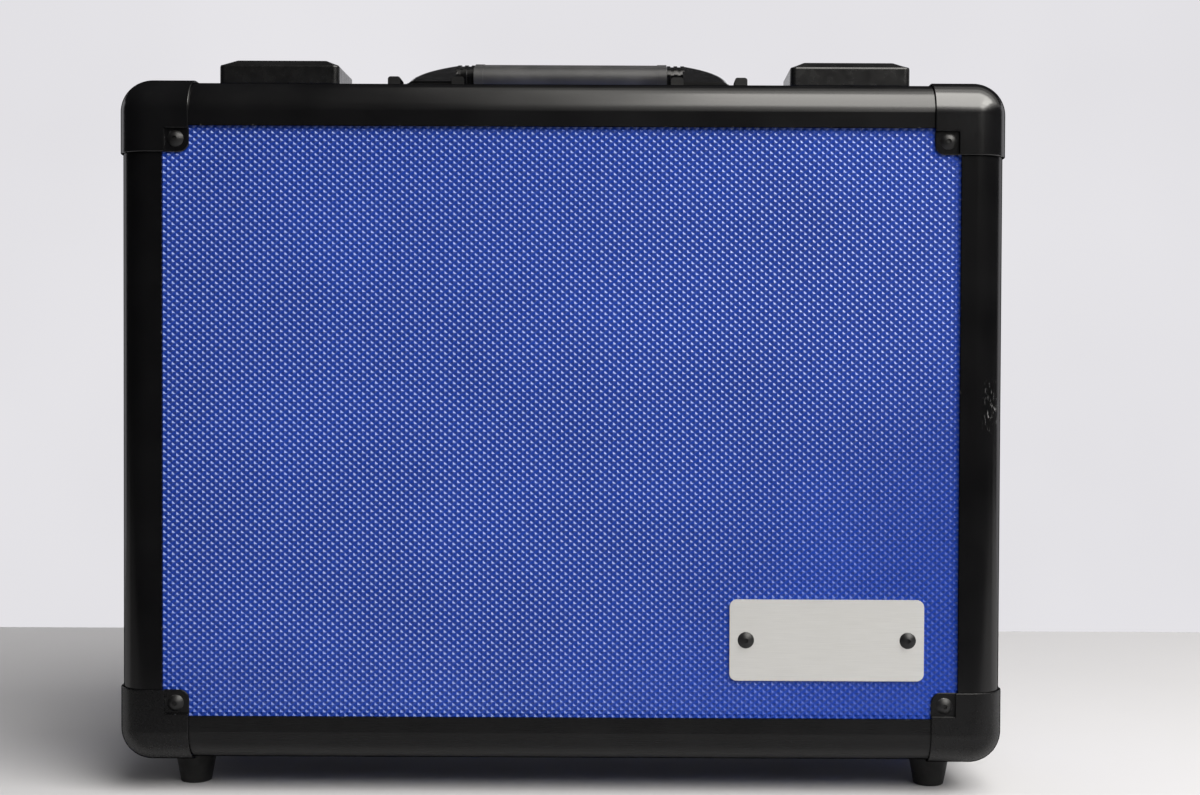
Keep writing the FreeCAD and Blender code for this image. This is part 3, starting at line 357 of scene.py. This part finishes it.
def embossing(name, body, corner, along, up, size, blocked=()):
    """Diamonds on a flat patch: its corner, its two directions and its size; none in the blocked boxes."""
    corner, along, up = Vector(corner), Vector(along), Vector(up)
    outward = along.cross(up)
    points, faces = [], []
    rows = int(size[1] / ROW)
    columns = int(size[0] / PITCH)
    for row in range(rows + 1):
        v = row * ROW + (size[1] - rows * ROW) / 2
        for column in range(columns + 1):
            u = (column + (row % 2) / 2) * PITCH + (size[0] - columns * PITCH) / 2
            if any(low_u < u < high_u and low_v < v < high_v for low_u, high_u, low_v, high_v in blocked):
                continue
            centre = corner + along * u + up * v
            start = len(points)
            for share, rise in ((1.0, 0.0), (TIP_SHARE, DIAMOND_RISE)):
                for step_u, step_v in ((1, 0), (0, 1), (-1, 0), (0, -1)):
                    points.append(centre + along * (step_u * share * DIAMOND_WIDE)
                                  + up * (step_v * share * DIAMOND_TALL) + outward * rise)
            for side in range(4):
                after = (side + 1) % 4
                faces.append((start + side, start + after, start + 4 + after, start + 4 + side))
            faces.append((start + 4, start + 5, start + 6, start + 7))
    new_piece(name, points, faces, BLUE, body)


def emboss_faces():
    """The two large panels: the pattern runs up to the rails, and just under the tabs and the nameplate."""
    plate_low, plate_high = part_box("nameplate")
    for half, side in (("lid", -1), ("base", 1)):
        left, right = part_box(f"{half}_edge_left")[1].x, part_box(f"{half}_edge_right")[0].x
        bottom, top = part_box(f"{half}_edge_bottom")[1].z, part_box(f"{half}_edge_top")[0].z
        width, height = right - left, top - bottom
        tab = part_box(f"{half}_corner_bottom_left")[1].x - left - DIAMOND_WIDE
        blocked = [(u, u + tab, v, v + tab) for u in (0.0, width - tab) for v in (0.0, height - tab)]
        if half == "lid":
            blocked.append((plate_low.x - left + DIAMOND_WIDE, plate_high.x - left - DIAMOND_WIDE,
                            plate_low.z - bottom + DIAMOND_TALL, plate_high.z - bottom - DIAMOND_TALL))
        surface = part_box(f"{half}_panel")[0 if side < 0 else 1].y
        start = left if side < 0 else right
        embossing(f"{half}_embossing", half, (start, surface, bottom), (-side, 0, 0), (0, 0, 1),
                  (width, height), blocked)


def emboss_walls():
    """The narrow strips of panel between the rails on the four sides of each half."""
    for half in ("lid", "base"):
        rim_low, rim_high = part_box(f"{half}_rim")
        edge_low, edge_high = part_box(f"{half}_edge_top")
        front, back = (edge_high.y, rim_low.y) if half == "lid" else (rim_high.y, edge_low.y)
        left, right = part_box(f"{half}_edge_left")[1].x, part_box(f"{half}_edge_right")[0].x
        bottom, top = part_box(f"{half}_edge_bottom")[1].z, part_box(f"{half}_edge_top")[0].z
        depth = back - front
        walls = (("top", (left, front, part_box(f"{half}_wall_top")[1].z), (1, 0, 0), right - left),
                 ("bottom", (right, front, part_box(f"{half}_wall_bottom")[0].z), (-1, 0, 0), right - left),
                 ("right", (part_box(f"{half}_wall_right")[1].x, front, top), (0, 0, -1), top - bottom),
                 ("left", (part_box(f"{half}_wall_left")[0].x, front, bottom), (0, 0, 1), top - bottom))
        for side, corner, along, length in walls:
            embossing(f"{half}_embossing_{side}", half, corner, along, (0, 1, 0), (length, depth))


emboss_faces()
emboss_walls()


# Foam: pads with soft edges; the lid's pad has rows of rounded peaks
SOFT_EDGE, PAD_STEP = 3.0 * MM, 4.0 * MM
PEAK_PITCH, PEAK_DEPTH = 26.0 * MM, 7.0 * MM


def blocks(node):
    """The box of each separate block of a solid."""
    copy = bmesh.new()
    copy.from_mesh(nodes[node].data)
    bmesh.ops.remove_doubles(copy, verts=copy.verts, dist=0.001 * MM)
    waiting = set(copy.verts)
    boxes = []
    while waiting:
        group, edge = [], [waiting.pop()]
        while edge:
            vertex = edge.pop()
            group.append(vertex.co.copy())
            for link in vertex.link_edges:
                other = link.other_vert(vertex)
                if other in waiting:
                    waiting.remove(other)
                    edge.append(other)
        low, high = [[pick(point[axis] for point in group) for axis in range(3)] for pick in (min, max)]
        boxes.append((Vector(low), Vector(high)))
    copy.free()
    return boxes


def steps(low, high):
    """Places along one side of a pad: close together on its soft edges, even between them."""
    count = max(2, round((high - low - 2 * SOFT_EDGE) / PAD_STEP))
    inner = [low + SOFT_EDGE + (high - low - 2 * SOFT_EDGE) * i / count for i in range(count + 1)]
    curve = [SOFT_EDGE * (1 - math.cos(math.radians(angle))) for angle in (0, 30, 60)]
    return [low + c for c in curve] + inner + [high - c for c in reversed(curve)]


def pad_mesh(box, face_axis, facing, peaks, points, faces):
    """Add one pad: a crowned face towards the inside of the case, soft edges and a flat back."""
    low, high = box
    u_axis, v_axis = [axis for axis in range(3) if axis != face_axis]
    u_steps, v_steps = steps(low[u_axis], high[u_axis]), steps(low[v_axis], high[v_axis])
    across, along = len(u_steps), len(v_steps)
    surface, back = (high, low) if facing > 0 else (low, high)
    for layer in range(2):
        first = len(points)
        for v in v_steps:
            for u in u_steps:
                inset = min(u - low[u_axis], high[u_axis] - u, v - low[v_axis], high[v_axis] - v, SOFT_EDGE)
                drop = SOFT_EDGE - math.sqrt(max(SOFT_EDGE ** 2 - (SOFT_EDGE - inset) ** 2, 0.0))
                if peaks:
                    wave = math.cos(math.tau * u / PEAK_PITCH) * math.cos(math.tau * v / PEAK_PITCH)
                    drop = max(drop, PEAK_DEPTH * (0.5 - 0.5 * wave))
                point = [0.0, 0.0, 0.0]
                point[u_axis], point[v_axis] = u, v
                point[face_axis] = surface[face_axis] - facing * drop if layer == 0 else back[face_axis]
                points.append(point)
        for row in range(along - 1):
            for column in range(across - 1):
                corner = first + row * across + column
                faces.append((corner, corner + 1, corner + 1 + across, corner + across))
    count = across * along
    base = len(points) - 2 * count
    ring = [base + i for i in range(across)] + [base + row * across + across - 1 for row in range(1, along)]
    ring += [base + (along - 1) * across + i for i in range(across - 2, -1, -1)]
    ring += [base + row * across for row in range(along - 2, 0, -1)]
    for place, first in enumerate(ring):
        second = ring[(place + 1) % len(ring)]
        faces.append((first, second, second + count, first + count))


def foam_piece(name, body, node, peaks, face_of):
    """One foam piece that stands for a solid: a pad for each of its blocks."""
    points, faces = [], []
    for box in blocks(node):
        pad_mesh(box, *face_of(box), peaks, points, faces)
    piece = new_piece(name, points, faces, FOAM, body)
    tidy = bmesh.new()
    tidy.from_mesh(piece.data)
    bmesh.ops.recalc_face_normals(tidy, faces=tidy.faces)
    tidy.to_mesh(piece.data)
    tidy.free()
    piece.data.shade_smooth()
    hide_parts(node)


def towards_inside(box):
    """The thin direction of an upright pad, and which way along it the middle of the case lies."""
    size = box[1] - box[0]
    axis = 0 if size.x < size.z else 2
    middle = (cad_box[0] + cad_box[1]) / 2
    return axis, 1 if (box[0] + box[1])[axis] / 2 < middle[axis] else -1


foam_piece("lid_pad", "lid", "lid_foam", True, lambda box: (1, 1))
foam_piece("base_pad", "base", "base_foam_floor", False, lambda box: (1, -1))
foam_piece("base_lining", "base", "base_foam_sides", False, towards_inside)
foam_piece("base_partitions", "base", "base_foam_dividers", False, lambda box: (1, -1))


# Stage: a pale table that ends in a step just before the case, a lower floor for the open lid, and a wall
def stage_material(name, tint):
    graph = Graph(name)
    cloud = graph.spread(graph.noise(3.0, 3.0), 0.3, 0.7)
    shade = graph.mix(cloud, color(*tint), color(*[channel * 0.97 for channel in tint]))
    return graph.finish(shade, 0.8, graph.bump(graph.noise(700.0, 2.0), 0.05, 0.0003))


STAGE_HALF = 3.0


def stage_strip(name, profile, material):
    """A sheet as wide as the stage, along a line of (y, z) points."""
    points = [(x, y, z) for x in (-STAGE_HALF, STAGE_HALF) for y, z in profile]
    count = len(profile)
    faces = [(i, count + i, count + i + 1, i + 1) for i in range(count - 1)]
    mesh = bpy.data.meshes.new(name)
    mesh.from_pydata(points, [], faces)
    strip = bpy.data.objects.new(name, mesh)
    scene.collection.objects.link(strip)
    mesh.materials.append(material)


TABLE_BACK, TABLE_FRONT = 0.43, cad_box[0].y - 0.004
STEP, STEP_ROUND, FLOOR_FRONT = 0.13, 0.003, -0.8


def table_profile():
    """From the foot of the step, round its edge and back along the table."""
    profile = [(TABLE_FRONT, -STEP)]
    for angle in range(0, 91, 15):
        turn = math.radians(angle)
        profile.append((TABLE_FRONT + STEP_ROUND * (1 - math.cos(turn)), STEP_ROUND * (math.sin(turn) - 1)))
    profile.append((TABLE_BACK, 0.0))
    return profile


stage_strip("table_top", table_profile(), stage_material("table_white", (0.53, 0.53, 0.55)))
stage_strip("floor_low", [(FLOOR_FRONT, -STEP), (TABLE_FRONT, -STEP)],
            stage_material("floor_white", (0.40, 0.40, 0.415)))


def glowing_wall():
    """A pale lit curtain behind the table: plain colour, a little cloudy, as bright as it looks."""
    graph = Graph("wall_glow")
    glow = graph.tree.nodes.new("ShaderNodeEmission")
    cloud = graph.spread(graph.noise(1.5, 3.0), 0.3, 0.7)
    graph.join(graph.mix(cloud, color(0.74, 0.73, 0.76), color(0.80, 0.79, 0.82)), glow.inputs["Color"])
    graph.join(glow.outputs[0], graph.tree.nodes["Material Output"].inputs["Surface"])
    return graph.material


WALL_BACK, WALL_LOW, WALL_HIGH = 1.3, -1.0, 1.0
stage_strip("back_wall", [(WALL_BACK, WALL_LOW), (WALL_BACK, WALL_HIGH)], glowing_wall())


# Light: soft boxes above the case and to the right, each inside a wider one, all leaning to the left
CEILING, CEILING_X, LEAN = 1.68, 0.42, math.atan(0.35)


def soft_box(name, x_range, y_range, power):
    """A rectangular lamp on a ceiling that slopes down to the right."""
    lamp = bpy.data.lights.new(name, "AREA")
    lamp.shape = "RECTANGLE"
    lamp.size = (x_range[1] - x_range[0]) / math.cos(LEAN)
    lamp.size_y = y_range[1] - y_range[0]
    lamp.energy = power
    lamp.color = (1.0, 0.975, 0.925)
    holder = bpy.data.objects.new(name, lamp)
    scene.collection.objects.link(holder)
    x = sum(x_range) / 2
    holder.location = (x, sum(y_range) / 2, CEILING - math.tan(LEAN) * (x - CEILING_X))
    holder.rotation_euler = (0.0, LEAN, 0.0)


soft_box("light_right", (0.95, 1.54), (-2.2, -0.5), 22.0)
soft_box("light_core", (0.1, 1.54), (-2.47, -0.23), 74.0)
soft_box("light_middle", (-0.1, 1.82), (-3.38, 0.19), 41.0)
soft_box("light_wide", (-0.3, 2.1), (-4.5, 0.68), 18.5)


# The room: how far towards the back, and how low, a direction has to point to count as its far side
FAR_SIDE, FAR_SIDE_TOP = 0.4, 0.35


def studio_world():
    """A dim room that the camera sees as pale all round, and shiny pieces as pale on its far side."""
    world = bpy.data.worlds.new("studio")
    scene.world = world
    world.use_nodes = True
    tree = world.node_tree
    dim = tree.nodes["Background"]
    dim.inputs["Color"].default_value = color(0.95, 0.95, 1.0)
    dim.inputs["Strength"].default_value = 0.02
    pale = tree.nodes.new("ShaderNodeBackground")
    pale.inputs["Color"].default_value = color(0.77, 0.76, 0.79)
    rays = tree.nodes.new("ShaderNodeLightPath")
    shiny = calculate(tree, "MAXIMUM", rays.outputs["Is Glossy Ray"], rays.outputs["Is Transmission Ray"])
    direction = tree.nodes.new("ShaderNodeSeparateXYZ")
    tree.links.new(tree.nodes.new("ShaderNodeTexCoord").outputs["Generated"], direction.inputs[0])
    behind = calculate(tree, "GREATER_THAN", direction.outputs["Y"], FAR_SIDE)
    low = calculate(tree, "LESS_THAN", direction.outputs["Z"], FAR_SIDE_TOP)
    far_side = calculate(tree, "MULTIPLY", behind, low)
    reflected = calculate(tree, "MULTIPLY", shiny, far_side)
    shown = calculate(tree, "MAXIMUM", rays.outputs["Is Camera Ray"], reflected)
    choose = tree.nodes.new("ShaderNodeMixShader")
    tree.links.new(shown, choose.inputs[0])
    tree.links.new(dim.outputs[0], choose.inputs[1])
    tree.links.new(pale.outputs[0], choose.inputs[2])
    tree.links.new(choose.outputs[0], tree.nodes["World Output"].inputs["Surface"])


studio_world()


# Camera: solved from the rails, caps and fittings of the photograph
CAMERA_PLACE = Vector((35.08, -854.27, 208.26)) * MM
LENS, SHIFT_X = 48.253, -0.02675
YAW, PITCH_DOWN, ROLL = math.radians(-0.043), math.radians(0.993), math.radians(0.246)


def place_camera():
    camera = bpy.data.objects.new("camera", bpy.data.cameras.new("camera"))
    scene.collection.objects.link(camera)
    forward = Vector((math.sin(YAW) * math.cos(PITCH_DOWN), math.cos(YAW) * math.cos(PITCH_DOWN),
                      -math.sin(PITCH_DOWN)))
    level = Vector((math.cos(YAW), -math.sin(YAW), 0.0))
    upright = level.cross(forward)
    right = level * math.cos(ROLL) + upright * math.sin(ROLL)
    up = upright * math.cos(ROLL) - level * math.sin(ROLL)
    turn = Matrix((right, up, -forward)).transposed().to_4x4()
    camera.matrix_world = Matrix.Translation(CAMERA_PLACE) @ turn
    camera.data.sensor_width = 36.0
    camera.data.lens = LENS
    camera.data.shift_x = SHIFT_X
    camera.data.clip_start = 0.01
    scene.camera = camera


place_camera()
